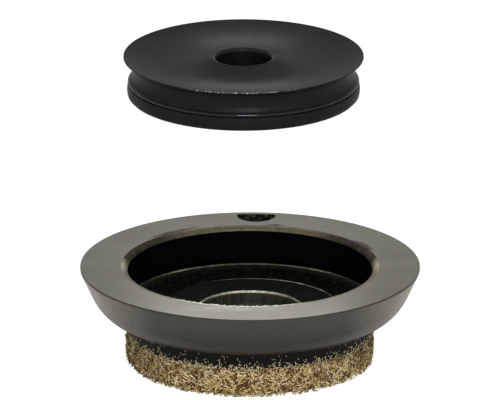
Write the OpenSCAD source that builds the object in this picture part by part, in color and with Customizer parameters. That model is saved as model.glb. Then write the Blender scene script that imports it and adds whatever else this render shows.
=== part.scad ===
// Felt furniture glide: a round plastic cup with a thick felt sole, and the round disc
// that is screwed under a furniture leg and clicks into the cup.
// Millimetres, +Z up. The origin is the centre of the felt's underside, on the floor.
// The disc lies by itself on the floor behind the cup, its dished side up.

/* [Cup outside] */
// Outer radius of the rim
rim_r = 25; // [23:0.5:28]
// Height of the plain edge round the rim
rim_edge = 0.4; // [0.2:0.1:0.8]
// Height of the cup from the face that the felt is bonded to up to the rim
cup_h = 9.95; // [9.5:0.05:12]
// Height of the bowl from its foot up to the rim
bowl_h = 7.7; // [7.2:0.1:8.4]
// Angle of the bowl's straight side from the vertical
bowl_angle = 25; // [18:1:30]
// Height of the bowl's straight side below the rim's edge
bowl_side = 3.5; // [2:0.1:4.5]
// Radius of the neck that carries the felt
neck_r = 18.1; // [16:0.1:19]
// Step from the neck out to the bowl's foot
foot_step = 0.3; // [0.2:0.1:1]

/* [Cup inside] */
// Radius of the bore that the disc's lower ring sits in
bore_r = 18; // [17:0.1:18.4]
// Width of the rounding that leads in from the rim to the bore
mouth_w = 0.95; // [0.7:0.05:1.5]
// Height of that rounding
mouth_h = 0.6; // [0.3:0.05:0.7]
// Height of the bore's straight wall
bore_h = 4.4; // [3.8:0.1:4.5]
// Depth of the groove below the bore, which holds the disc's flange
groove_in = 0.7; // [0.4:0.05:1.2]
// Height of the slope from the bore out to the groove's wall
groove_slope = 0.45; // [0.2:0.05:0.55]
// Rounding of the corner between the groove's wall and the floor's outer ring
corner_r = 0.35; // [0.1:0.05:0.45]
// Depth of the floor below the rim
floor_depth = 6.45; // [6.35:0.05:6.8]
// Rise of the floor's sloped outer ring at the groove's wall
floor_rise = 0.45; // [0.2:0.05:0.55]
// Step down from the sloped ring to the flat floor
floor_step = 0.1; // [0.05:0.05:0.2]
// Radius of the flat floor
floor_r = 12.9; // [10:0.1:14]
// Radius of the recess in the middle of the floor
recess_r = 7.5; // [5.5:0.1:9]
// Depth of the recess below the floor
recess_depth = 2.1; // [1:0.1:2.3]
// Rounding of the recess's edge
recess_round = 0.35; // [0.1:0.05:0.6]

/* [Pry pocket] */
// Radius of the pocket's cutter
pocket_r = 2.85; // [2:0.05:3.2]
// Distance of the cutter's centre from the rim's edge
pocket_inset = 1.65; // [1:0.05:2.5]
// Wall left between the pocket and the bowl's side, measured level
pocket_wall = 0.9; // [0.6:0.1:1.4]
// Depth of the pocket below the rim
pocket_depth = 2.2; // [1:0.1:3]
// Direction of the pocket, counter-clockwise from +X
pocket_angle = 87.75; // [0:0.25:360]

/* [Felt sole] */
// Thickness of the felt
felt_t = 4.4; // [2.5:0.1:6]
// How far the felt stands out from the neck
felt_overhang = 0.2; // [0:0.1:0.6]

/* [Leg disc edge] */
// Height of the disc from its flat underside to the flange's edge
disc_h = 6.5; // [6.2:0.1:7]
// Clearance between the disc's flange and the groove's wall
flange_clearance = 0.23; // [0.1:0.01:0.5]
// Clearance between the disc's lower ring and the bore
ring_clearance = 0.1; // [0.05:0.05:0.3]
// How far the waist lies inside the lower ring
waist_depth = 0.95; // [0.5:0.05:1.4]
// Thickness of the flange at its very edge
flange_edge = 0.2; // [0.15:0.05:0.5]
// Height of the waist's narrowest place above the disc's underside
waist_z = 4.4; // [3.9:0.1:4.8]
// Bevel round the disc's underside
ring_bevel = 0.4; // [0.2:0.05:0.7]
// Height of the lower ring above the disc's underside
ring_h = 2.1; // [1.6:0.05:2.3]
// Crown of the lower ring's outer face
ring_crown = 0.12; // [0.05:0.01:0.2]
// Depth of the fine grooves above and below the bead
groove_depth = 0.35; // [0.2:0.05:0.5]
// Width of each fine groove
groove_w = 0.15; // [0.1:0.05:0.2]
// Height of the bead between the grooves
bead_h = 0.5; // [0.4:0.05:0.7]

/* [Leg disc face] */
// Radius of the dished face's lowest circle
dish_r = 10.7; // [9:0.1:12]
// Depth of the dish below the flange's edge
dish_depth = 1.3; // [0.8:0.05:1.6]
// How far the raised middle stays below the flange's edge
hub_drop = 0.2; // [0.05:0.05:0.5]
// Radius of the recess for the screw's head
head_r = 4.25; // [3.5:0.05:5]
// Rounding of the head recess's mouth
head_round = 0.5; // [0.2:0.05:0.8]
// Height of the ledge that the screw's head clamps
ledge_h = 2.95; // [2:0.05:3.5]
// Radius of the screw's clearance hole
screw_r = 2.25; // [1.5:0.05:2.75]

/* [Layout] */
// Distance of the disc's middle behind the cup's middle
disc_y = 125; // [50:1:150]
// Sideways place of the disc's middle
disc_x = -1; // [-10:0.5:10]

/* [Hidden] */
$fn = 96;
cut = 1;

// heights in the cup
rim_z = felt_t + cup_h;
foot_z = rim_z - bowl_h;
foot_r = neck_r + foot_step;
bore_top = rim_z - mouth_h;
bore_foot = bore_top - bore_h;
groove_top = bore_foot - groove_slope;
floor_z = rim_z - floor_depth;
ring_z = floor_z + floor_step;
recess_z = floor_z - recess_depth;
groove_wall_r = bore_r + groove_in;
felt_r = neck_r + felt_overhang;

// sizes of the disc that follow the cup
flange_r = groove_wall_r - flange_clearance;
ring_r = bore_r - ring_clearance;
waist_r = ring_r - waist_depth;
groove_r = ring_r - ring_crown - groove_depth;
bead_z = ring_h + groove_w;
bead_top = bead_z + bead_h;
hub_z = disc_h - hub_drop;

// Points on an arc, from angle a0 to angle a1 about c.
function arc(c, r, a0, a1, n) =
    [for (i = [0:n]) let (a = a0 + (a1 - a0) * i / n) c + r * [cos(a), sin(a)]];

// Centre of the circle that leaves p square to the unit normal and passes through q.
function tangent_centre(p, normal, q) =
    let (w = q - p) p + normal * (w * w) / (2 * (w * normal));

// Centre of the circle through three points.
function circle_centre(p, q, s) =
    let (u = q - p, v = s - p, d = 2 * (u[0] * v[1] - u[1] * v[0]))
    p + [v[1] * (u * u) - u[1] * (v * v), u[0] * (v * v) - v[0] * (u * u)] / d;

function angle_of(v) = atan2(v[1], v[0]);

// The arc from p through q to s, where q lies on the side of the axis.
function waist_arc(p, q, s, n) =
    let (c = circle_centre(p, q, s),
         a0 = angle_of(p - c), a1 = angle_of(s - c))
    arc(c, norm(p - c), a0 < 0 ? a0 + 360 : a0, a1 < 0 ? a1 + 360 : a1, n);

// A shallow crown that stands out from the upright line between two heights.
function crown(r, z0, z1, rise, n) =
    let (half = (z1 - z0) / 2,
         c_r = (half * half + rise * rise) / (2 * rise),
         a = asin(half / c_r))
    arc([r + rise - c_r, z0 + half], c_r, -a, a, n);

// The bowl's outer side, from its foot up to the rim's edge.
side_top = [rim_r, rim_z - rim_edge];
side_low = side_top - bowl_side * [tan(bowl_angle), 1];
side_normal = [-cos(bowl_angle), sin(bowl_angle)];
bowl_centre = tangent_centre(side_low, side_normal, [foot_r, foot_z]);
bowl_side_points = concat(
    arc(bowl_centre, norm(side_low - bowl_centre),
        angle_of([foot_r, foot_z] - bowl_centre), -bowl_angle, 14),
    [side_top]);

// The rounded mouth, level at the rim.
mouth_centre = tangent_centre([bore_r + mouth_w, rim_z], [0, -1], [bore_r, bore_top]);

// The corner at the foot of the groove, tangent to its wall and to the sloped ring.
slope = floor_rise / (groove_wall_r - floor_r);
corner_x = groove_wall_r - corner_r;
corner_centre = [corner_x, ring_z + slope * (corner_x - floor_r) + corner_r * sqrt(1 + slope * slope)];

cup_section = concat(
    [[0, felt_t], [neck_r, felt_t], [neck_r, foot_z]],
    bowl_side_points,
    [[rim_r, rim_z]],
    arc(mouth_centre, rim_z - mouth_centre[1], 90,
        angle_of([bore_r, bore_top] - mouth_centre), 6),
    [[bore_r, bore_foot],
     [groove_wall_r, groove_top]],
    arc(corner_centre, corner_r, 0, atan(slope) - 90, 5),
    [[floor_r, ring_z],
     [floor_r, floor_z]],
    arc([recess_r + recess_round, floor_z - recess_round], recess_round, 90, 180, 5),
    [[recess_r, recess_z], [0, recess_z]]);

// The dished face, from the flange's edge in to the screw head's recess.
dish_z = disc_h - dish_depth;
hub_edge = [head_r + head_round, hub_z];
outer_dish_centre = tangent_centre([dish_r, dish_z], [0, 1], [flange_r, disc_h]);
inner_dish_centre = tangent_centre([dish_r, dish_z], [0, 1], hub_edge);

disc_section = concat(
    [[screw_r, 0], [ring_r - ring_crown - ring_bevel, 0]],
    crown(ring_r - ring_crown, ring_bevel, ring_h, ring_crown, 6),
    [[groove_r, ring_h + groove_w / 2]],
    crown(groove_r + groove_depth / 2, bead_z, bead_top, groove_depth / 2, 6),
    waist_arc([groove_r, bead_top + groove_w / 2], [waist_r, waist_z],
              [flange_r, disc_h - flange_edge], 12),
    arc(outer_dish_centre, outer_dish_centre[1] - dish_z,
        angle_of([flange_r, disc_h] - outer_dish_centre), -90, 10),
    arc(inner_dish_centre, inner_dish_centre[1] - dish_z,
        -90, angle_of(hub_edge - inner_dish_centre), 8),
    arc(hub_edge - [0, head_round], head_round, 90, 180, 5),
    [[head_r, ledge_h], [screw_r, ledge_h]]);

module felt_cup() {
    color([0.09, 0.09, 0.08])
    difference() {
        rotate_extrude() polygon(cup_section);
        pry_pocket();
    }
}

// Takes a thin tool, and keeps an even wall to the bowl's side.
module pry_pocket() {
    intersection() {
        rotate(pocket_angle)
            translate([rim_r - pocket_inset, 0, rim_z - pocket_depth])
            cylinder(r = pocket_r, h = pocket_depth + cut);
        translate([0, 0, rim_z - pocket_depth])
            cylinder(r1 = rim_r - pocket_wall - pocket_depth * tan(bowl_angle),
                     r2 = rim_r - pocket_wall + cut * tan(bowl_angle),
                     h = pocket_depth + cut);
    }
}

module felt_pad() {
    color([0.55, 0.47, 0.32])
    cylinder(r = felt_r, h = felt_t);
}

module leg_disc() {
    color([0.07, 0.07, 0.07])
    translate([disc_x, disc_y, 0])
        rotate_extrude() polygon(disc_section);
}

felt_cup();
felt_pad();
leg_disc();
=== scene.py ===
import math
import random
from types import SimpleNamespace

import bmesh
import bpy
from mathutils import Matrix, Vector, noise


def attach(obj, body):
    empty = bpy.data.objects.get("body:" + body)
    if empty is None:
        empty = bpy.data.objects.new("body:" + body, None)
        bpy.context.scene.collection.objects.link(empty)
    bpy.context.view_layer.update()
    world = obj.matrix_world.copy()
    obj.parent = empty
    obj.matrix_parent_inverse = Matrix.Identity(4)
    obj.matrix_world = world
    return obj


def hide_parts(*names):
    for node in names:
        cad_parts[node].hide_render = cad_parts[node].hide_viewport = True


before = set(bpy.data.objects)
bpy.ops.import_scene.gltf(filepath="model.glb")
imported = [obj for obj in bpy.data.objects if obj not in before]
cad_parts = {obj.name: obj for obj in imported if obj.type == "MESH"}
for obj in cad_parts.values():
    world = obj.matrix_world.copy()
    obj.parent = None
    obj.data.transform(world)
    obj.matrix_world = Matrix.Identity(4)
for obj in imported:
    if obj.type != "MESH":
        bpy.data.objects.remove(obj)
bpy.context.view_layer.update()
MM = 0.001

# ---------------------------------------------------------------- sizes
# In millimetres and degrees, with the values and names of the part's source.

# the cup's outside
RIM_R = 25.0
RIM_EDGE = 0.4
CUP_H = 9.95
BOWL_H = 7.7
BOWL_ANGLE = 25.0
BOWL_SIDE = 3.5
NECK_R = 18.1
FOOT_STEP = 0.3

# the cup's inside
BORE_R = 18.0
MOUTH_W = 0.95
MOUTH_H = 0.6
BORE_H = 4.4
GROOVE_IN = 0.7
GROOVE_SLOPE = 0.45
CORNER_R = 0.35
FLOOR_DEPTH = 6.45
FLOOR_RISE = 0.45
FLOOR_STEP = 0.1
FLOOR_R = 12.9
RECESS_R = 7.5
RECESS_DEPTH = 2.1
RECESS_ROUND = 0.35

# the pry pocket in the rim
POCKET_R = 2.85
POCKET_INSET = 1.65
POCKET_WALL = 0.9
POCKET_DEPTH = 2.2
POCKET_ANGLE = 87.75

# the felt
FELT_T = 4.4
FELT_OVERHANG = 0.2

# the disc
DISC_H = 6.5
FLANGE_CLEARANCE = 0.23
RING_CLEARANCE = 0.1
WAIST_DEPTH = 0.95
FLANGE_EDGE = 0.2
WAIST_Z = 4.4
RING_BEVEL = 0.4
RING_H = 2.1
RING_CROWN = 0.12
GROOVE_DEPTH = 0.35
GROOVE_W = 0.15
BEAD_H = 0.5
DISH_R = 10.7
DISH_DEPTH = 1.3
HUB_DROP = 0.2
HEAD_R = 4.25
HEAD_ROUND = 0.5
LEDGE_H = 2.95
SCREW_R = 2.25
DISC_X = -1.0
DISC_Y = 125.0

# what follows from them
RIM_Z = FELT_T + CUP_H
FLOOR_Z = RIM_Z - FLOOR_DEPTH
GROOVE_WALL_R = BORE_R + GROOVE_IN
FELT_R = NECK_R + FELT_OVERHANG
FLANGE_R = GROOVE_WALL_R - FLANGE_CLEARANCE


# ---------------------------------------------------------------- profiles

def arc(centre, r, start, end, steps):
    """Points on an arc from one angle to another."""
    points = []
    for i in range(steps + 1):
        a = math.radians(start + (end - start) * i / steps)
        points.append((centre[0] + r * math.cos(a), centre[1] + r * math.sin(a)))
    return points


def angle_of(p, centre):
    """Direction from a centre to a point."""
    return math.degrees(math.atan2(p[1] - centre[1], p[0] - centre[0]))


def tangent_centre(p, normal, q):
    """Centre of the circle that leaves p square to the unit normal and passes through q."""
    w = (q[0] - p[0], q[1] - p[1])
    k = (w[0] ** 2 + w[1] ** 2) / (2 * (w[0] * normal[0] + w[1] * normal[1]))
    return p[0] + normal[0] * k, p[1] + normal[1] * k


def circle_centre(p, q, s):
    """Centre of the circle through three points."""
    ux, uy, vx, vy = q[0] - p[0], q[1] - p[1], s[0] - p[0], s[1] - p[1]
    d = 2 * (ux * vy - uy * vx)
    uu, vv = ux * ux + uy * uy, vx * vx + vy * vy
    return p[0] + (vy * uu - uy * vv) / d, p[1] + (ux * vv - vx * uu) / d


def crown(r, low, high, rise, steps):
    """A shallow crown that stands out from the upright line between two heights."""
    half = (high - low) / 2
    crown_r = (half * half + rise * rise) / (2 * rise)
    a = math.degrees(math.asin(half / crown_r))
    return arc((r + rise - crown_r, low + half), crown_r, -a, a, steps)


def plain(points, slot):
    """Profile rows for points that need no fillet, all with one material."""
    return [(r, z, 0, slot) for r, z in points]


CORNER_STEPS = 4  # steps in each rounded corner
CORNER_SHARE = 0.32  # the most that a corner takes of the faces beside it
BESIDE_SHARE = 0.45  # distance of the row beside a corner, as a share of the corner
BESIDE_MOST = 0.06  # and the most that it may be


def soften(points):
    """Rounds the corners of a profile of (r, z, fillet, slot of the face that starts there), and
    puts a row beside each of them, so that flat faces shade flat. Returns rows of (r, z, slot)."""
    rows = []
    for i, (r, z, fillet, slot) in enumerate(points):
        if fillet <= 0 or i in (0, len(points) - 1):
            rows.append((r, z, slot))
            continue
        corner = Vector((r, z))
        back, ahead = Vector(points[i - 1][:2]) - corner, Vector(points[i + 1][:2]) - corner
        back_length, ahead_length = back.length, ahead.length
        back, ahead = back / back_length, ahead / ahead_length
        turn = math.pi - back.angle(ahead)
        cut = min(fillet * math.tan(turn / 2), CORNER_SHARE * back_length, CORNER_SHARE * ahead_length)
        beside = min(BESIDE_SHARE * cut, BESIDE_MOST)
        slot_before = points[i - 1][3]
        p = corner + back * (cut + beside)
        rows.append((p.x, p.y, slot_before))
        for k in range(CORNER_STEPS + 1):
            u = k / CORNER_STEPS
            p = (corner + back * cut) * (1 - u) ** 2 + corner * 2 * u * (1 - u)
            p += (corner + ahead * cut) * u ** 2
            rows.append((p.x, p.y, slot_before if u < 0.5 else slot))
        p = corner + ahead * (cut + beside)
        rows.append((p.x, p.y, slot))
    return rows


# ---------------------------------------------------------------- meshes

def mesh_object(name, points, faces, materials, slots=None, smooth=True):
    """An object from points in millimetres, with its faces turned outward."""
    mesh = bpy.data.meshes.new(name)
    mesh.from_pydata([(x * MM, y * MM, z * MM) for x, y, z in points], [], faces)
    for material in materials:
        mesh.materials.append(material)
    if slots:
        mesh.polygons.foreach_set("material_index", slots)
    mesh.polygons.foreach_set("use_smooth", [smooth] * len(faces))
    mesh.update()
    bm = bmesh.new()
    bm.from_mesh(mesh)
    bmesh.ops.recalc_face_normals(bm, faces=bm.faces)
    bm.to_mesh(mesh)
    bm.free()
    obj = bpy.data.objects.new(name, mesh)
    bpy.context.scene.collection.objects.link(obj)
    return obj


def lathe(name, profile, segments, materials, centre=(0.0, 0.0), closed=False, shape=None):
    """A turned mesh from a profile of (r, z, slot), where a slot is a name in materials.
    shape(r, z, angle) may move a point."""
    points, rows = [], []
    for r, z, _ in profile:
        if r < 1e-6:
            rows.append([len(points)] * segments)
            points.append((*centre, z))
            continue
        row = []
        for k in range(segments):
            a = 2 * math.pi * k / segments
            point_r, point_z = shape(r, z, a) if shape else (r, z)
            row.append(len(points))
            points.append((centre[0] + point_r * math.cos(a), centre[1] + point_r * math.sin(a), point_z))
        rows.append(row)
    slot_numbers = {slot: i for i, slot in enumerate(materials)}
    faces, slots = [], []
    for i in range(len(rows) if closed else len(rows) - 1):
        low, high = rows[i], rows[(i + 1) % len(rows)]
        for k in range(segments):
            m = (k + 1) % segments
            face = [low[k], low[m], high[m], high[k]]
            face = [v for j, v in enumerate(face) if v not in face[:j]]
            if len(face) > 2:
                faces.append(face)
                slots.append(slot_numbers[profile[i][2]])
    return mesh_object(name, points, faces, materials.values(), slots)


# ---------------------------------------------------------------- node trees

WHITE = (1, 1, 1, 1)


def srgb(r, g, b):
    """A colour given as 0 to 255 sRGB values, as linear RGBA."""
    def linear(c):
        c /= 255
        return c / 12.92 if c <= 0.04045 else ((c + 0.055) / 1.055) ** 2.4
    return (linear(r), linear(g), linear(b), 1.0)


class Graph:
    """A short way to write a node tree."""

    def __init__(self, tree):
        self.tree = tree

    def add(self, kind, **settings):
        node = self.tree.nodes.new(kind)
        for key, value in settings.items():
            setattr(node, key, value)
        return node

    def wire(self, output, socket):
        self.tree.links.new(output, socket)

    def feed(self, socket, value):
        """Sets a socket to a number or colour, or wires it to another node."""
        if isinstance(value, (int, float, tuple)):
            socket.default_value = value
        else:
            self.wire(value, socket)

    def math(self, operation, a, b=0.0, clamp=False):
        node = self.add("ShaderNodeMath", operation=operation, use_clamp=clamp)
        self.feed(node.inputs[0], a)
        self.feed(node.inputs[1], b)
        return node.outputs[0]

    def rise(self, value, start, width):
        """0 up to a start, and from there up to 1 over a width."""
        return self.math("DIVIDE", self.math("SUBTRACT", value, start), width, clamp=True)

    def ramp(self, factor, stops):
        """A colour ramp from stops of (place, grey level or colour)."""
        node = self.add("ShaderNodeValToRGB")
        elements = node.color_ramp.elements
        while len(elements) < len(stops):
            elements.new(0.5)
        for element, (place, colour) in zip(elements, stops):
            element.position = place
            element.color = colour if isinstance(colour, tuple) else (colour, colour, colour, 1)
        self.wire(factor, node.inputs["Fac"])
        return node.outputs["Color"]

    def surface(self, output, lit, seen, share=1.0):
        """Ends a tree with one shader as it is lit and another, by a share, as the camera sees it."""
        to_camera = self.add("ShaderNodeLightPath").outputs["Is Camera Ray"]
        mix = self.add("ShaderNodeMixShader")
        self.wire(self.math("MULTIPLY", to_camera, share), mix.inputs[0])
        self.wire(lit.outputs[0], mix.inputs[1])
        self.wire(seen.outputs[0], mix.inputs[2])
        self.wire(mix.outputs[0], self.add(output).inputs["Surface"])


class Material(Graph):
    """A material's node tree. Its textures lie in the shared frame."""

    def __init__(self, name):
        self.material = bpy.data.materials.new(name)
        self.material.use_nodes = True
        super().__init__(self.material.node_tree)
        self.bsdf = self.tree.nodes["Principled BSDF"]
        self.place = self.add("ShaderNodeTexCoord").outputs["Object"]

    def axis(self, letter):
        """The X, Y or Z of the place, in metres."""
        split = self.add("ShaderNodeSeparateXYZ")
        self.wire(self.place, split.inputs[0])
        return split.outputs[letter]

    def aside(self):
        """Distance from the plane X = 0."""
        return self.math("ABSOLUTE", self.axis("X"))

    def noise(self, size, detail=4.0, rough=0.55, stretch=(1, 1, 1)):
        """Noise with features of about a size in millimetres."""
        mapping = self.add("ShaderNodeMapping")
        mapping.inputs["Scale"].default_value = stretch
        self.wire(self.place, mapping.inputs["Vector"])
        node = self.add("ShaderNodeTexNoise")
        node.inputs["Scale"].default_value = 1000 / size
        node.inputs["Detail"].default_value = detail
        node.inputs["Roughness"].default_value = rough
        self.wire(mapping.outputs["Vector"], node.inputs["Vector"])
        return node.outputs[0]

    def mix(self, factor, a, b, blend="MIX"):
        node = self.add("ShaderNodeMix", data_type="RGBA", blend_type=blend)
        self.feed(node.inputs[0], factor)
        self.feed(node.inputs[6], a)
        self.feed(node.inputs[7], b)
        return node.outputs[2]

    def bump(self, height, depth, normal=None):
        """A bump with a depth in millimetres, on top of another one if there is one."""
        node = self.add("ShaderNodeBump")
        node.inputs["Distance"].default_value = depth * MM
        self.wire(height, node.inputs["Height"])
        if normal is not None:
            self.wire(normal, node.inputs["Normal"])
        return node.outputs["Normal"]

    def length(self, vector):
        node = self.add("ShaderNodeVectorMath", operation="LENGTH")
        self.wire(vector, node.inputs[0])
        return node.outputs["Value"]

    def moved(self, at, half=(1000, 1000, 1000), turn=0.0):
        """Coordinates about a place, in units of half lengths, all in millimetres."""
        mapping = self.add("ShaderNodeMapping", vector_type="TEXTURE")
        mapping.inputs["Location"].default_value = [v * MM for v in at]
        mapping.inputs["Rotation"].default_value = (0, 0, math.radians(turn))
        mapping.inputs["Scale"].default_value = [v * MM for v in half]
        self.wire(self.place, mapping.inputs["Vector"])
        return mapping.outputs["Vector"]

    def spot(self, at, half, turn=0.0):
        """1 in the middle of a soft ellipsoid, and 0 outside."""
        return self.math("SUBTRACT", 1.0, self.length(self.moved(at, half, turn)), clamp=True)


# ---------------------------------------------------------------- plastics

def plastic(name, dark, pale, rough, ior=1.5, grain=0.006, mottle=4.0, patchy=0.07, tint=WHITE, extra=None):
    """Moulded plastic: slow mottling, a fine grain and an uneven gloss. grain is the depth of its
    bumps and mottle the size of its clouds, in millimetres, and patchy is how far its gloss varies."""
    m = Material(name)
    clouds = m.ramp(m.noise(mottle, 5, 0.6), [(0.3, dark), (0.72, pale)])
    colour = m.mix(0.35, clouds, m.ramp(m.noise(0.25, 3, 0.6), [(0.35, dark), (0.7, pale)]))
    gloss = m.ramp(m.noise(mottle * 0.6, 4, 0.65), [(0.3, rough - 0.7 * patchy), (0.75, rough + patchy)])
    fine = m.math("MULTIPLY", m.noise(0.35, 3, 0.6), 0.7)
    wavy = m.math("MULTIPLY", m.noise(2.2, 2), 0.6)
    normal = m.bump(m.math("ADD", fine, wavy), grain)
    if extra:
        colour, gloss, normal = extra(m, colour, gloss, normal)
    m.wire(colour, m.bsdf.inputs["Base Color"])
    m.wire(gloss, m.bsdf.inputs["Roughness"])
    m.wire(normal, m.bsdf.inputs["Normal"])
    m.bsdf.inputs["IOR"].default_value = ior
    m.bsdf.inputs["Specular Tint"].default_value = tint
    return m.material


def shaded(m, colour, gloss, normal):
    """The bowl's outside: painted shade that darkens it towards its foot, and pale dust specks with a painted
    sheen on its left and right.
    """
    # painted shade: the colour darkens towards the bowl's foot
    height = m.rise(m.axis("Z"), 6.0 * MM, 7.5 * MM)
    shade = m.ramp(height, [(0.087, 0.05), (0.213, 0.15), (0.36, 0.4), (0.533, 0.54),
                            (0.68, 0.68), (0.83, 0.9), (1.0, 1.0)])
    colour = m.mix(1.0, colour, shade, "MULTIPLY")
    # pale dust specks, and with them a painted sheen towards the left and right edges
    dust = m.ramp(m.noise(0.45, 4, 0.75), [(0.35, 0.15), (0.65, 0.75)])
    dust = m.math("MULTIPLY", m.rise(m.aside(), 14 * MM, 10 * MM), dust)
    return m.mix(dust, colour, srgb(140, 132, 118)), gloss, normal


# places on the rim's face: middle, half lengths and turn
BROWN_RUBS = (((-11.3, 15.5, RIM_Z), (5.6, 0.9, 1), 36),
              ((16.6, 9.4, RIM_Z), (3.4, 1.0, 1), 120))
WHITE_RUB = ((-3, -19.6, RIM_Z), (9, 2.2, 2))
SCRATCH_R = 19.25
SCRATCH_ANGLE = math.radians(79)
SCRATCH = ((SCRATCH_R * math.cos(SCRATCH_ANGLE), SCRATCH_R * math.sin(SCRATCH_ANGLE), RIM_Z),
           (1.6, 0.28, 0.5), -8)


def handled(m, colour, gloss, normal):
    """The rim's face: brownish clouds and rubs, a whitish rub in front, and a dark scratch beside
    the pocket."""
    clouds = m.ramp(m.noise(7.0, 4, 0.6, stretch=(0.6, 1, 1)), [(0.42, 0.0), (0.66, 0.85)])
    colour = m.mix(clouds, colour, srgb(22, 18, 8))
    blotch = m.ramp(m.noise(0.45, 4, 0.75), [(0.38, 0.0), (0.52, 2.2)])
    for place in BROWN_RUBS:
        worn = m.math("MULTIPLY", m.spot(*place), blotch, clamp=True)
        colour = m.mix(worn, colour, srgb(20, 15, 7))
        gloss = m.mix(worn, gloss, (0.7, 0.7, 0.7, 1))
    streaks = m.ramp(m.noise(0.9, 4, 0.7, stretch=(0.4, 1, 1)), [(0.35, 0.0), (0.62, 1.1)])
    rub = m.math("MULTIPLY", m.spot(*WHITE_RUB), streaks, clamp=True)
    colour = m.mix(rub, colour, srgb(126, 126, 120))
    broken = m.ramp(m.noise(0.5, 3, 0.7), [(0.4, 0.0), (0.56, 3.0)])
    scratch = m.math("MULTIPLY", m.spot(*SCRATCH), broken, clamp=True)
    colour = m.mix(scratch, colour, srgb(10, 10, 9))
    gloss = m.mix(scratch, gloss, (0.95, 0.95, 0.95, 1))
    return colour, gloss, m.bump(m.math("SUBTRACT", 1.0, scratch), 0.5, normal)


# places on the mouth, for the painted highlights at its ends and for the burr: middle and half lengths
MOUTH_END_HIGHLIGHTS = [((side * 18.8, 0.4, RIM_Z), (0.8, 4.4, 2)) for side in (-1, 1)]
MOUTH_BURR = ((-3, -18, RIM_Z), (13, 4, 3))


def torn(m, colour, gloss, normal):
    """The mouth: cut rough, browner than the moulded faces, with painted shade, dark and spotty, where it
    turns to the sides behind, painted highlights at its far left and right, and whitish where a burr is left."""
    spots = m.ramp(m.noise(0.5, 4, 0.7), [(0.4, srgb(44, 42, 32)), (0.62, srgb(92, 88, 68))])
    colour = m.mix(0.5, colour, spots)
    # painted shade, dark and spotty, where the mouth turns to the sides behind
    aside = m.rise(m.aside(), 8.5 * MM, 5 * MM)
    behind = m.rise(m.axis("Y"), 0.3 * MM, 3 * MM)
    blotch = m.ramp(m.noise(0.9, 4, 0.7), [(0.3, 0.65), (0.6, 1.0)])
    dark = m.math("MULTIPLY", m.math("MULTIPLY", aside, behind), blotch)
    colour = m.mix(dark, colour, srgb(12, 10, 6))
    gloss = m.mix(dark, gloss, (0.85, 0.85, 0.85, 1))
    # painted highlights at the mouth's far left and right
    for place in MOUTH_END_HIGHLIGHTS:
        colour = m.mix(m.spot(*place), colour, srgb(140, 136, 118))
    ragged = m.ramp(m.noise(0.3, 3, 0.7), [(0.35, 0.4), (0.6, 3.0)])
    burr = m.math("MULTIPLY", m.spot(*MOUTH_BURR), ragged, clamp=True)
    colour = m.mix(burr, colour, srgb(206, 206, 198))
    return colour, gloss, m.bump(m.noise(0.45, 4, 0.7), 0.05, normal)


def gritty(m, colour, gloss, normal):
    """The sloped ring: rough, with small pale specks that are painted glints, and dust near the wall."""
    # small pale specks: painted glints on the rough ring
    specks = m.ramp(m.noise(0.4, 3, 0.75), [(0.58, 0.0), (0.7, 1.0)])
    colour = m.mix(specks, colour, srgb(46, 48, 40))
    near_wall = m.rise(m.axis("Z"), (FLOOR_Z + 0.38) * MM, 0.16 * MM)
    dust = m.math("MULTIPLY", near_wall, m.ramp(m.noise(0.5, 4, 0.7), [(0.35, 0.05), (0.65, 0.6)]))
    colour = m.mix(dust, colour, srgb(54, 52, 40))
    return colour, gloss, m.bump(m.noise(0.6, 4, 0.7), 0.06, normal)


def patchy_highlight(m, colour):
    """Makes a colour uneven at random, here to break up the painted highlights along edges."""
    patchiness = m.ramp(m.noise(1.1, 4, 0.7), [(0.36, 0.45), (0.5, 0.85), (0.66, 1.5)])
    return m.mix(1.0, colour, patchiness, "MULTIPLY")


def edge_highlight(stops, reach):
    """A painted highlight along an edge. Its tone is set by stops over its distance from the plane X = 0."""
    def extra(m, colour, gloss, normal):
        tone = m.ramp(m.rise(m.aside(), 0.0, reach * MM), stops)
        return m.mix(1.0, patchy_highlight(m, colour), tone, "MULTIPLY"), gloss, normal
    return extra


def one_sided(m, colour, gloss, normal):
    """The floor's step: a painted highlight, bright towards +X and dull towards -X."""
    across = m.rise(m.axis("X"), -8 * MM, 20 * MM)
    tone = m.ramp(across, [(0.0, 0.02), (0.35, 0.5), (0.7, 1.8), (0.87, 1.7), (1.0, 0.4)])
    return patchy_highlight(m, m.mix(1.0, colour, tone, "MULTIPLY")), gloss, normal


def streaked(m, colour, gloss, normal):
    """The recess: upright wipes, and brown near its top."""
    upright = m.noise(0.6, 4, 0.65, stretch=(1, 1, 0.1))
    wipes = m.ramp(upright, [(0.36, srgb(22, 24, 20)), (0.68, srgb(62, 64, 54))])
    near_top = m.rise(m.axis("Z"), (FLOOR_Z - 0.75) * MM, 0.35 * MM)
    colour = m.mix(0.8, colour, wipes)
    return m.mix(m.math("MULTIPLY", near_top, 0.7), colour, srgb(62, 52, 30)), gloss, normal


def specked(m, colour, gloss, normal):
    """The pocket's inside: faint pale crumbs."""
    crumbs = m.ramp(m.noise(0.35, 3, 0.75), [(0.54, 0.0), (0.62, 1.0)])
    return m.mix(crumbs, colour, srgb(70, 70, 62)), gloss, normal


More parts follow.
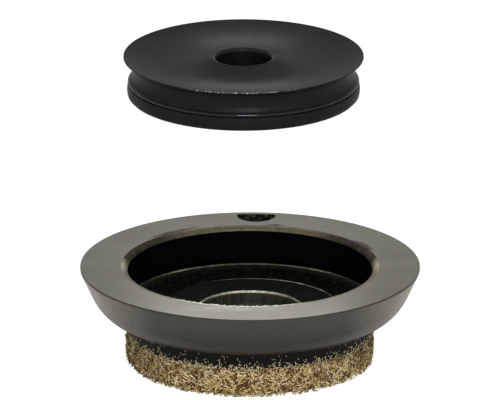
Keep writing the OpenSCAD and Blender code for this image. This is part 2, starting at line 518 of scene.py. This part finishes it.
def chipped_with_edge_highlight(m, colour, gloss, normal):
    """The disc: small pale chips and a painted highlight along the flange's thin edge, on the side towards
    the cup.
    """
    from_middle = m.moved((DISC_X, DISC_Y, 0))
    split = m.add("ShaderNodeSeparateXYZ")
    m.wire(from_middle, split.inputs[0])
    level = m.add("ShaderNodeVectorMath", operation="MULTIPLY")
    level.inputs[1].default_value = (1, 1, 0)
    m.wire(from_middle, level.inputs[0])
    edge = m.rise(m.length(level.outputs["Vector"]), (FLANGE_R - 0.17) * MM, 0.1 * MM)
    front = m.rise(m.math("MULTIPLY", split.outputs["Y"], -1.0), 15.6 * MM, 2 * MM)
    # pale chips, and a painted highlight along the near edge
    chips = m.ramp(m.noise(0.3, 3, 0.7), [(0.52, 0.0), (0.6, 0.75)])
    mask = m.math("MULTIPLY", m.math("MULTIPLY", edge, front), chips)
    return m.mix(mask, colour, srgb(196, 196, 193)), gloss, normal


# The bowl's gloss is turned down in bands towards its foot: painted shade for the dark beside the felt, which
# the foot faces.
BOWL_BANDS = 9
CUP_MATERIALS = {
    "rim": plastic("cup_rim", srgb(46, 45, 39), srgb(56, 55, 46), 0.25, ior=1.48, grain=0.0016,
                   mottle=5.0, patchy=0.03, extra=handled),
    "mouth": plastic("cup_mouth", srgb(62, 60, 46), srgb(84, 80, 60), 0.5, ior=1.36, grain=0.01,
                     mottle=1.6, tint=(1.0, 0.94, 0.8, 1), extra=torn),
    # near black with almost no gloss: painted shade in the bore and the groove under the lip
    "wall": plastic("cup_wall", srgb(3, 4, 6), srgb(6, 7, 9), 0.6, ior=1.03, grain=0.008, mottle=1.8),
    # pale: a painted highlight along the rounded corner at the groove's foot
    "corner": plastic("cup_corner", srgb(70, 70, 60), srgb(104, 104, 90), 0.4, ior=1.4, mottle=1.2,
                      extra=edge_highlight([(0.0, 1.1), (0.45, 1.0), (0.65, 1.9), (0.78, 0.8), (1.0, 0.3)], 16)),
    # near black with almost no gloss: painted shade on the sloped ring
    "ring": plastic("cup_ring", srgb(5, 6, 5), srgb(10, 11, 9), 0.6, ior=1.03, mottle=1.5, extra=gritty),
    # pale: a painted highlight along the floor's step
    "step": plastic("cup_step", srgb(64, 64, 58), srgb(122, 122, 112), 0.5, ior=1.06, mottle=1.2,
                    extra=one_sided),
    # dark with almost no gloss: painted shade on the cup's floor
    "floor": plastic("cup_floor", srgb(13, 15, 13), srgb(22, 25, 22), 0.5, ior=1.03, mottle=2.5),
    # pale: a painted highlight round the recess's rounded edge
    "bright": plastic("cup_painted_highlight", srgb(146, 146, 138), srgb(186, 186, 176), 0.28, mottle=1.0,
                      extra=edge_highlight([(0.0, 1.0), (0.6, 0.95), (0.85, 0.4), (1.0, 0.34)], 6.2)),
    "recess": plastic("cup_recess", srgb(24, 26, 22), srgb(42, 44, 38), 0.5, ior=1.2, extra=streaked),
    # near black with almost no gloss: painted shade inside the pocket, with pale crumbs
    "pocket": plastic("cup_pocket", srgb(5, 5, 6), srgb(11, 11, 11), 0.6, ior=1.05, mottle=1.0,
                      extra=specked),
    "band": plastic("cup_band", srgb(44, 41, 35), srgb(58, 54, 46), 0.5, ior=1.3),
    # dark: painted shade on the neck under the bowl
    "neck": plastic("cup_neck", srgb(18, 18, 15), srgb(30, 30, 26), 0.5, ior=1.15, mottle=1.5),
}
for band in range(BOWL_BANDS):
    CUP_MATERIALS[f"bowl_{band}"] = plastic(
        f"cup_bowl_{band}", srgb(36, 40, 35), srgb(51, 56, 49), 0.3, ior=1.09 + 0.04 * band,
        grain=0.004, patchy=0.04, extra=shaded)

BLUISH = (0.82, 0.9, 1.0, 1)
DISC_MATERIALS = {
    "face": plastic("disc_moulded", srgb(26, 28, 31), srgb(34, 36, 39), 0.34, ior=1.22, grain=0.003,
                    patchy=0.03, tint=BLUISH, extra=chipped_with_edge_highlight),
    # dark: painted shade in the screw's hole and the head's recess, on the underside and in the fine groove
    # round the recess
    "inside": plastic("disc_inside", srgb(6, 6, 7), srgb(12, 12, 13), 0.5, ior=1.3, tint=BLUISH),
    # a little darker than the face: painted shade on the side under the flange
    "side": plastic("disc_side", srgb(20, 21, 24), srgb(28, 30, 33), 0.4, ior=1.2, tint=BLUISH),
    "bead": plastic("disc_bead", srgb(17, 19, 21), srgb(25, 27, 30), 0.11, ior=1.42, grain=0.003,
                    patchy=0.03, tint=BLUISH),
}


# ---------------------------------------------------------------- the cup

BOWL_STEPS = 24  # steps in the bowl's curve
BOWL_STEPS_A_BAND = 3
BAND_H = 0.22  # height of the dull band under the rim's face


def cup_outside():
    """From the face that the felt is bonded to, up to the rim's edge."""
    lean = math.radians(BOWL_ANGLE)
    foot = (NECK_R + FOOT_STEP, RIM_Z - BOWL_H)
    side_top = (RIM_R, RIM_Z - RIM_EDGE)
    side_low = (RIM_R - BOWL_SIDE * math.tan(lean), RIM_Z - RIM_EDGE - BOWL_SIDE)
    centre = tangent_centre(side_low, (-math.cos(lean), math.sin(lean)), foot)
    bowl = arc(centre, math.dist(side_low, centre), angle_of(foot, centre), -BOWL_ANGLE, BOWL_STEPS)
    curve = [(r, z, 0, f"bowl_{i // BOWL_STEPS_A_BAND}") for i, (r, z) in enumerate(bowl)]
    return [(0, FELT_T, 0, "neck"),
            (NECK_R, FELT_T, 0.15, "neck"),
            (NECK_R, foot[1], 0.05, "neck"),
            (*bowl[0], 0.06, "bowl_0"),
            *curve[1:],
            (*side_top, 0.05, f"bowl_{BOWL_BANDS - 1}"),
            (RIM_R, RIM_Z - BAND_H, 0, "band"),
            (RIM_R, RIM_Z, 0.08, "rim")]


def cup_mouth():
    """The rounded mouth, the bore and the groove's slope."""
    bore_top = RIM_Z - MOUTH_H
    bore_foot = bore_top - BORE_H
    start = (BORE_R + MOUTH_W, RIM_Z)
    centre = tangent_centre(start, (0, -1), (BORE_R, bore_top))
    mouth = arc(centre, RIM_Z - centre[1], 90, angle_of((BORE_R, bore_top), centre), 12)
    return [(start[0] + 0.4, RIM_Z, 0, "rim"),
            (start[0] + 0.08, RIM_Z, 0, "mouth"),
            *plain(mouth[:-1], "mouth"),
            (*mouth[-1], 0.06, "wall"),
            (BORE_R, bore_foot, 0.08, "wall"),
            (GROOVE_WALL_R, bore_foot - GROOVE_SLOPE, 0.05, "wall")]


def cup_ring():
    """The corner at the groove's foot, the sloped ring and the step down to the floor."""
    ring_z = FLOOR_Z + FLOOR_STEP
    slope = FLOOR_RISE / (GROOVE_WALL_R - FLOOR_R)
    x = GROOVE_WALL_R - CORNER_R
    centre = (x, ring_z + slope * (x - FLOOR_R) + CORNER_R * math.sqrt(1 + slope * slope))
    corner = arc(centre, CORNER_R, 0, math.degrees(math.atan(slope)) - 90, 10)
    start, end = corner[-1], (FLOOR_R, ring_z)

    def on_ring(share, slot):
        return (start[0] + (end[0] - start[0]) * share, start[1] + (end[1] - start[1]) * share, 0, slot)

    return [*plain(corner[:6], "wall"),
            *plain(corner[6:], "corner"),
            *[on_ring(share, "ring") for share in (0.03, 0.3, 0.6, 0.94)],
            on_ring(0.975, "step"),
            (FLOOR_R + 0.03, ring_z - 0.008, 0, "step"),
            (FLOOR_R, ring_z - 0.04, 0, "floor"),
            (FLOOR_R, FLOOR_Z, 0.02, "floor")]


def cup_recess():
    """The flat floor and the recess in its middle."""
    edge_r = RECESS_R + RECESS_ROUND
    rounding = arc((edge_r, FLOOR_Z - RECESS_ROUND), RECESS_ROUND, 90, 180, 12)
    return [*plain([(12.4, FLOOR_Z), (10, FLOOR_Z), (edge_r + 0.1, FLOOR_Z)], "floor"),
            *plain(rounding[:2], "floor"),
            *plain(rounding[2:10], "bright"),
            *plain(rounding[10:], "recess"),
            (RECESS_R, FLOOR_Z - 0.5, 0, "recess"),
            (RECESS_R, FLOOR_Z - RECESS_DEPTH, 0.2, "recess"),
            (0, FLOOR_Z - RECESS_DEPTH, 0, "recess")]


# the burr along the mouth: where it starts and ends, how far it fades in and out, and its place
BURR_START, BURR_END = 222, 300
BURR_FADE_IN, BURR_FADE_OUT = 14, 16
BURR_DEPTH = 0.12  # below the rim
BURR_HALF_H = 0.16
BURR_OUT = 0.34  # how far it may stand out
BURR_R = 19  # radius at which its raggedness is measured
BURR_FINENESS = 4.5  # features a millimetre


def torn_mouth(r, z, a):
    """A torn burr along part of the mouth's edge, on the rounding only."""
    depth = RIM_Z - z
    if r > BORE_R + MOUTH_W or r < BORE_R + 0.02 or depth > MOUTH_H or depth < 0.001:
        return r, z
    angle = math.degrees(a) % 360
    fade_in = min(1.0, max(0.0, (angle - BURR_START) / BURR_FADE_IN))
    fade_out = min(1.0, max(0.0, (BURR_END - angle) / BURR_FADE_OUT))
    rough = noise.fractal(Vector((math.cos(a), math.sin(a), 0)) * BURR_R * BURR_FINENESS, 0.7, 2.2, 4)
    height = max(0.0, 1 - abs(depth - BURR_DEPTH) / BURR_HALF_H)
    out = max(0.0, rough + 0.15) * BURR_OUT * (fade_in * fade_out) + 0.03 * max(0.0, rough)
    return r - height * out, z + height * min(out * 0.4, depth * 0.85)


POCKET_INSIDE_R = 21.8  # radius of a point well inside the pocket
POCKET_STEPS = 96
# heights of the pocket's outline above its floor, and how far it is drawn in there
POCKET_LEVELS = ((POCKET_DEPTH + 1, 0.0), (POCKET_DEPTH + 0.01, 0.0), (0.3, 0.0), (0.09, 0.06), (0.0, 0.25))


def pocket_cutter():
    """A round cutter that is clipped by a cone along the bowl's side, rounded at its floor."""
    turn = math.radians(POCKET_ANGLE)
    ahead = Vector((math.cos(turn), math.sin(turn)))
    centre, inside = ahead * (RIM_R - POCKET_INSET), ahead * POCKET_INSIDE_R

    def reach(direction, middle, r):
        """Distance from the inside point to a circle, in a direction."""
        b = (inside - middle).dot(direction)
        return -b + math.sqrt(b * b - (inside - middle).length_squared + r * r)

    points = []
    for height, drawn_in in POCKET_LEVELS:
        z = RIM_Z - POCKET_DEPTH + height
        cone_r = RIM_R - POCKET_WALL + (z - RIM_Z) * math.tan(math.radians(BOWL_ANGLE)) - drawn_in
        for k in range(POCKET_STEPS):
            a = 2 * math.pi * k / POCKET_STEPS
            direction = Vector((math.cos(a), math.sin(a)))
            far = min(reach(direction, centre, POCKET_R - drawn_in), reach(direction, Vector((0, 0)), cone_r))
            points.append((*(inside + direction * far), z))
    last = (len(POCKET_LEVELS) - 1) * POCKET_STEPS
    faces = [list(range(POCKET_STEPS))[::-1], list(range(last, last + POCKET_STEPS))]
    for low in range(0, last, POCKET_STEPS):
        high = low + POCKET_STEPS
        for k in range(POCKET_STEPS):
            m = (k + 1) % POCKET_STEPS
            faces.append([low + k, low + m, high + m, high + k])
    slots = [list(CUP_MATERIALS).index("pocket")] * len(faces)
    return mesh_object("pocket_cutter", points, faces, CUP_MATERIALS.values(), slots, smooth=False)


def cut_away(obj, cutter):
    """Subtracts the cutter, bakes the result into the object's mesh and removes the cutter."""
    cut = obj.modifiers.new("pocket", "BOOLEAN")
    cut.operation, cut.solver, cut.object = "DIFFERENCE", "EXACT", cutter
    depsgraph = bpy.context.evaluated_depsgraph_get()
    mesh = bpy.data.meshes.new_from_object(obj.evaluated_get(depsgraph), depsgraph=depsgraph)
    obj.modifiers.clear()
    uncut, obj.data = obj.data, mesh
    bpy.data.meshes.remove(uncut)
    bpy.data.objects.remove(cutter)


SHARP_ANGLE = math.radians(40)  # edges sharper than this aren't smoothed
CUP_SEGMENTS = 640
DISC_SEGMENTS = 480

cup_profile = soften(cup_outside() + cup_mouth() + cup_ring() + cup_recess())
cup = lathe("cup_body", cup_profile, CUP_SEGMENTS, CUP_MATERIALS, shape=torn_mouth)
cut_away(cup, pocket_cutter())
cup.data.set_sharp_from_angle(angle=SHARP_ANGLE)
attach(cup, "root")
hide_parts("felt_cup")


# ---------------------------------------------------------------- the disc

def disc_side():
    """From the screw's hole out along the underside, and up to the flange."""
    ring_r = BORE_R - RING_CLEARANCE
    groove_r = ring_r - RING_CROWN - GROOVE_DEPTH
    bead_z = RING_H + GROOVE_W
    bead_top = bead_z + BEAD_H
    waist_start = (groove_r, bead_top + GROOVE_W / 2)
    waist_end = (FLANGE_R, DISC_H - FLANGE_EDGE)
    centre = circle_centre(waist_start, (ring_r - WAIST_DEPTH, WAIST_Z), waist_end)
    waist = arc(centre, math.dist(waist_start, centre), angle_of(waist_start, centre) % 360,
                angle_of(waist_end, centre) % 360, 24)
    return [(SCREW_R, 0, 0.15, "inside"),
            (ring_r - RING_CROWN - RING_BEVEL, 0, 0.12, "side"),
            *plain(crown(ring_r - RING_CROWN, RING_BEVEL, RING_H, RING_CROWN, 12), "side"),
            (groove_r, RING_H + GROOVE_W / 2, 0, "side"),
            *plain(crown(groove_r + GROOVE_DEPTH / 2, bead_z, bead_top, GROOVE_DEPTH / 2, 10), "bead"),
            *plain(waist[:-1], "side"),
            (*waist[-1], 0, "face")]


def disc_face():
    """The dished face, from the flange's edge in to the screw head's recess. A fine groove goes
    round the recess's mouth, with painted shade in it."""
    dish_z = DISC_H - DISH_DEPTH
    hub_r, hub_z = HEAD_R + HEAD_ROUND, DISC_H - HUB_DROP
    centre = tangent_centre((DISH_R, dish_z), (0, 1), (FLANGE_R, DISC_H))
    outer = arc(centre, centre[1] - dish_z, angle_of((FLANGE_R, DISC_H), centre), -90, 24)
    centre = tangent_centre((DISH_R, dish_z), (0, 1), (hub_r, hub_z))
    inner = arc(centre, centre[1] - dish_z, -90, angle_of((hub_r, hub_z), centre), 20)
    rounding = arc((hub_r, hub_z - HEAD_ROUND), HEAD_ROUND, 90, 180, 8)
    return [(FLANGE_R, DISC_H - 0.02, 0.05, "face"),
            *plain(outer[1:], "face"),
            *plain(inner[1:-1], "face"),
            # the fine groove, in the dark inside colour as painted shade
            *plain([(hub_r + 0.2, hub_z - 0.05), (hub_r + 0.1, hub_z - 0.07)], "inside"),
            (hub_r, hub_z, 0, "face"),
            *plain(rounding[1:-1], "face"),
            (HEAD_R, hub_z - HEAD_ROUND, 0, "inside"),
            (HEAD_R, LEDGE_H, 0.1, "inside"),
            (SCREW_R, LEDGE_H, 0.1, "inside")]


disc_profile = soften(disc_side() + disc_face())
disc = lathe("disc_body", disc_profile, DISC_SEGMENTS, DISC_MATERIALS, (DISC_X, DISC_Y), closed=True)
disc.data.set_sharp_from_angle(angle=SHARP_ANGLE)
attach(disc, "root")
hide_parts("leg_disc")


# ---------------------------------------------------------------- the felt

FELT_TONES = [(0.00, srgb(56, 35, 15)), (0.16, srgb(98, 66, 28)), (0.34, srgb(152, 122, 66)),
              (0.52, srgb(196, 172, 112)), (0.70, srgb(224, 206, 152)), (0.88, srgb(246, 232, 188)),
              (1.00, srgb(252, 245, 222))]


def felt_material(name, fibres):
    """Needle felt. Its fibres each have their own tone, and its body, seen between them, is dark as painted
    shade.
    """
    m = Material(name)
    if fibres:
        tone = m.add("ShaderNodeAttribute", attribute_name="tone").outputs["Fac"]
    else:
        # the body keeps to the ramp's dark end: painted shade in the gaps between the fibres
        tone = m.math("MULTIPLY", m.noise(0.35, 3, 0.7), 0.3)
    patches = m.ramp(m.noise(4.0, 3, 0.6), [(0.3, (0.72, 0.66, 0.58, 1)), (0.7, (1.0, 1.0, 0.97, 1))])
    m.wire(m.mix(1.0, m.ramp(tone, FELT_TONES), patches, "MULTIPLY"), m.bsdf.inputs["Base Color"])
    m.wire(m.bump(m.noise(0.15, 3, 0.7), 0.03), m.bsdf.inputs["Normal"])
    m.bsdf.inputs["Roughness"].default_value = 0.85
    m.bsdf.inputs["IOR"].default_value = 1.4
    m.bsdf.inputs["Sheen Weight"].default_value = 0.06
    m.bsdf.inputs["Sheen Roughness"].default_value = 0.5
    return m.material


M_FELT = felt_material("felt_core", False)
M_FIBRE = felt_material("felt_fibre", True)
UNEVEN_R = 18  # radius at which the felt's unevenness is measured
FELT_TOP = FELT_T - 0.02
FELT_SEGMENTS = 420
FELT_ROWS = 26


def felt_point(a, z):
    """A point on a plain drum, for the noise that makes the felt uneven."""
    return Vector((math.cos(a) * UNEVEN_R, math.sin(a) * UNEVEN_R, z))


def felt_radius(a, z):
    """The felt's uneven side."""
    wide = noise.fractal(felt_point(a, z) * 0.22, 1.0, 2.0, 3)
    lump = noise.fractal(felt_point(a, z) * 1.3 + Vector((7, 3, 1)), 1.0, 2.2, 4)
    return FELT_R - 0.3 + 0.16 * wide + 0.17 * lump - 0.4 * max(0.0, 1 - z / 1.5) ** 2


def felt_lift(a):
    """How far the ragged lower edge stays above the floor."""
    fine = noise.fractal(felt_point(a, 40) * 0.9, 1.0, 2.2, 4)
    coarse = noise.fractal(felt_point(a, 40) * 0.22, 1.0, 2.0, 3)
    return min(0.8, max(0.0, 0.16 + 0.24 * fine + 0.65 * max(0.0, coarse)))


def felt_body():
    """A drum with an uneven side and a ragged lower edge."""
    points, rows = [(0, 0, 0.02)], []

    def ring(radius, height):
        """Adds a row of points, from a radius and a height for each angle."""
        rows.append(list(range(len(points), len(points) + FELT_SEGMENTS)))
        for k in range(FELT_SEGMENTS):
            a = 2 * math.pi * k / FELT_SEGMENTS
            points.append((radius(a) * math.cos(a), radius(a) * math.sin(a), height(a)))

    def side(a, u):
        """Radius of the side at a share of the felt's height, drawn in at both edges."""
        drawn_in = 0.3 * (1 - min(1, u * 6)) ** 2 + 0.25 * max(0, (u - 0.88) / 0.12) ** 2
        return felt_radius(a, u * FELT_T) - drawn_in

    for share in (0.35, 0.7, 0.9):
        ring(lambda a: FELT_R * share, lambda a: 0.0)
    ring(lambda a: felt_radius(a, 0) - 0.5, lambda a: felt_lift(a) * 0.4)
    for i in range(FELT_ROWS + 1):
        u = i / FELT_ROWS
        ring(lambda a: side(a, u), lambda a: felt_lift(a) + (FELT_TOP - felt_lift(a)) * u)
    ring(lambda a: NECK_R * 0.9, lambda a: FELT_TOP)
    top = len(points)
    points.append((0, 0, FELT_TOP))
    faces = []
    for k in range(FELT_SEGMENTS):
        m = (k + 1) % FELT_SEGMENTS
        faces.append([0, rows[0][m], rows[0][k]])
        for low, high in zip(rows, rows[1:]):
            faces.append([low[k], low[m], high[m], high[k]])
        faces.append([rows[-1][k], rows[-1][m], top])
    return mesh_object("felt_body", points, faces, [M_FELT])


BRISTLES = 0.9  # share of the fibres that are the felt's own bristles
STRAYS = 0.03  # share that stand up over its top edge
DARK_BRISTLES = 0.24  # share of the bristles that are dark
FIBRES_A_PIECE = 8500
FIBRE_STEPS = 3
FIBRE_SIDES = 3
FIBRE_TAPER = (0.85, 1.0, 0.9, 0.4)  # width along a fibre


def draw_fibre(rnd):
    """Draws where a fibre starts, how it runs and its tone."""
    f = SimpleNamespace(angle=rnd.uniform(0, 2 * math.pi))
    kind = rnd.random()
    f.turn = rnd.uniform(0, 2 * math.pi)
    f.bristle = kind < BRISTLES
    if f.bristle:
        f.z = rnd.uniform(felt_lift(f.angle) + 0.02, FELT_T - 0.2)
        f.length = rnd.uniform(0.4, 1.05)
        f.width = rnd.uniform(0.05, 0.1)
        f.lift = rnd.uniform(0.05, 0.65)
        f.tone = rnd.uniform(0, 0.16) if rnd.random() < DARK_BRISTLES else rnd.gauss(0.64, 0.23)
        # the last term darkens bristles near the floor: painted shade at the felt's foot
        f.tone += 0.34 * noise.noise(felt_point(f.angle, f.z) * 0.6) - 0.3 * max(0.0, 1 - f.z / 0.6)
        f.r = felt_radius(f.angle, f.z) - rnd.uniform(0.08, 0.2)
    elif kind < BRISTLES + STRAYS:
        f.z = rnd.uniform(FELT_T - 0.6, FELT_T - 0.1)
        f.length = rnd.uniform(0.3, 0.9)
        f.width = rnd.uniform(0.035, 0.055)
        f.lift = rnd.uniform(0.1, 0.5)
        f.tone = rnd.gauss(0.85, 0.12)
        f.turn = rnd.gauss(math.pi / 2, 0.8)
        f.r = felt_radius(f.angle, f.z) - 0.1
    else:  # short bits that stick to the neck
        f.z = FELT_T + min(1.9, rnd.expovariate(2.2))
        f.length = rnd.uniform(0.12, 0.35)
        f.width = rnd.uniform(0.035, 0.06)
        f.lift = 0.0
        f.tone = rnd.gauss(0.95, 0.08)
        f.r = NECK_R + 0.05
    f.bend = rnd.uniform(-1.6, 1.6)
    f.tone = min(1, max(0, f.tone))
    return f


def fibre_path(f):
    """The fibre's middle line. It runs along the felt's side, bends and lifts away from it."""
    path = []
    step = f.length / FIBRE_STEPS
    a, z, r, turn = f.angle, f.z, f.r, f.turn
    for i in range(FIBRE_STEPS + 1):
        path.append(Vector((r * math.cos(a), r * math.sin(a), max(0.05, z))))
        a += math.cos(turn) * step / UNEVEN_R
        z += math.sin(turn) * step
        if f.bristle and z > FELT_T:
            z = FELT_T + 0.25 * (z - FELT_T)
        r += (f.lift if i < 2 else f.lift * 0.2) * step
        turn += f.bend / FIBRE_STEPS
    return path


def fibre_points(path, width):
    """Points round the fibre's middle line."""
    points = []
    for i, p in enumerate(path):
        along = (path[min(i + 1, FIBRE_STEPS)] - path[max(i - 1, 0)]).normalized()
        side = along.cross(Vector((p.x, p.y, 0)).normalized())
        side = side.normalized() if side.length > 1e-6 else Vector((0, 0, 1))
        up = side.cross(along)
        for k in range(FIBRE_SIDES):
            a = 2 * math.pi * k / FIBRE_SIDES + 0.5
            q = p + (side * math.cos(a) + up * math.sin(a)) * (width * FIBRE_TAPER[i])
            points.append((q.x, q.y, max(0.0, q.z)))
    return points


def fibre_faces(first):
    """Faces of a closed tube whose first point has a number."""
    last = first + FIBRE_STEPS * FIBRE_SIDES
    faces = []
    for low in range(first, last, FIBRE_SIDES):
        high = low + FIBRE_SIDES
        for k in range(FIBRE_SIDES):
            m = (k + 1) % FIBRE_SIDES
            faces.append([low + k, low + m, high + m, high + k])
    faces.append(list(range(first, first + FIBRE_SIDES))[::-1])
    faces.append(list(range(last, last + FIBRE_SIDES)))
    return faces


def felt_fibres(name, count, seed):
    """Short coarse fibres that stand out from the felt's side, each a tapered tube."""
    rnd = random.Random(seed)
    points, faces, tones = [], [], []
    for _ in range(count):
        fibre = draw_fibre(rnd)
        faces += fibre_faces(len(points))
        points += fibre_points(fibre_path(fibre), fibre.width)
        tones += [fibre.tone] * (len(points) - len(tones))
    obj = mesh_object(name, points, faces, [M_FIBRE])
    obj.data.attributes.new("tone", "FLOAT", "POINT").data.foreach_set("value", tones)
    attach(obj, "root")


felt = felt_body()
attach(felt, "root")
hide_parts("felt_pad")
felt_fibres("felt_fibres_a", FIBRES_A_PIECE, seed=7)
felt_fibres("felt_fibres_b", FIBRES_A_PIECE, seed=8)


# ---------------------------------------------------------------- floor, light, camera

def stage_floor():
    """White, and mostly lit from itself to the camera, so that only a faint shadow shows."""
    bpy.ops.mesh.primitive_plane_add(size=6.0, location=(0, 0, -0.02 * MM))
    floor = bpy.context.object
    floor.name = "floor"
    material = bpy.data.materials.new("floor_white")
    material.use_nodes = True
    material.node_tree.nodes.clear()
    g = Graph(material.node_tree)
    lit = g.add("ShaderNodeBsdfDiffuse")
    lit.inputs["Color"].default_value = (0.86, 0.86, 0.86, 1)
    seen = g.add("ShaderNodeEmission")
    seen.inputs["Color"].default_value = WHITE
    seen.inputs["Strength"].default_value = 1.3
    g.surface("ShaderNodeOutputMaterial", lit, seen, share=0.7)
    floor.data.materials.append(material)


# the world's strength as a light: in front, and behind the object by its height
FRONT_LIGHT = 0.62
BACK_LIGHT = [(0.0, 0.4), (0.2, 0.37), (0.31, 0.34), (0.43, 0.3), (0.55, 0.25), (0.85, 0.5)]


def stage_world():
    """White to the camera. As a light it is even in front, and darker behind the object."""
    world = bpy.data.worlds.new("studio")
    bpy.context.scene.world = world
    world.use_nodes = True
    world.node_tree.nodes.clear()
    g = Graph(world.node_tree)
    split = g.add("ShaderNodeSeparateXYZ")
    g.wire(g.add("ShaderNodeTexCoord").outputs["Generated"], split.inputs[0])
    behind = g.rise(split.outputs["Y"], 0.1, 0.6)
    back = g.math("MULTIPLY", g.ramp(split.outputs["Z"], BACK_LIGHT), behind)
    front = g.math("MULTIPLY", g.math("SUBTRACT", 1.0, behind), FRONT_LIGHT)
    lit = g.add("ShaderNodeBackground")
    lit.inputs["Color"].default_value = (1.0, 0.985, 0.9, 1)
    g.wire(g.math("ADD", back, front), lit.inputs["Strength"])
    seen = g.add("ShaderNodeBackground")
    seen.inputs["Color"].default_value = WHITE
    seen.inputs["Strength"].default_value = 1.0
    g.surface("ShaderNodeOutputWorld", lit, seen)


def softbox(name, at, aim, size, watts, colour=(1, 1, 1)):
    """A rectangular lamp at a place, turned to an aim, with its places and size in millimetres."""
    light = bpy.data.lights.new(name, "AREA")
    light.shape = "RECTANGLE"
    light.size, light.size_y = size[0] * MM, size[1] * MM
    light.energy, light.color = watts, colour
    obj = bpy.data.objects.new(name, light)
    obj.location = [v * MM for v in at]
    obj.rotation_euler = (Vector(aim) - Vector(at)).to_track_quat("-Z", "Y").to_euler()
    obj.visible_camera = False
    bpy.context.scene.collection.objects.link(obj)


PHOTO_WIDTH = 500  # pixels
RIM_HALF_WIDTH = 169.9  # the rim's half width in the photograph, in pixels
RIM_RIGHT = 0.05  # how far the rim's middle is right of the picture's middle, in pixels
RIM_DOWN = 65.6  # and how far below it
LOOK_DOWN = 18.32  # degrees


def stage_camera():
    camera = bpy.data.cameras.new("camera")
    camera.sensor_width, camera.lens = 36, 1350
    camera.clip_start, camera.clip_end = 0.1, 100
    pixel = RIM_R / RIM_HALF_WIDTH
    distance = PHOTO_WIDTH * pixel * camera.lens / camera.sensor_width
    e = math.radians(LOOK_DOWN)
    ahead, up = Vector((0, math.cos(e), -math.sin(e))), Vector((0, math.sin(e), math.cos(e)))
    aim = Vector((-RIM_RIGHT * pixel, 0, RIM_Z)) + up * RIM_DOWN * pixel
    obj = bpy.data.objects.new("camera", camera)
    obj.location = (aim - ahead * distance) * MM
    obj.rotation_euler = ahead.to_track_quat("-Z", "Y").to_euler()
    bpy.context.scene.collection.objects.link(obj)
    bpy.context.scene.camera = obj


stage_floor()
stage_world()
# between the cup and the disc, mirrored in the cup's rim
softbox("back_panel", (0, 75, 39), (0, -5, 39), (150, 42), 0.0105, (1, 0.985, 0.86))
# above it, for the brighter middle of the rim and the rings on the cup's floor
softbox("back_softbox", (-1, 75, 65), (-1, -5, 12), (31, 40), 0.0084, (1, 0.985, 0.88))
# behind the disc, for the two highlights in its dish
softbox("disc_softbox", (-1, 165, 19.5), (-1, 125, 6), (12, 8), 0.00042)
# in front, high and a little to the right, for all that faces the camera
softbox("front_softbox", (25, -285, 270), (0, 0, 5), (140, 140), 1.12, (1, 0.985, 0.95))
stage_camera()
bpy.context.scene.view_settings.view_transform = "Standard"
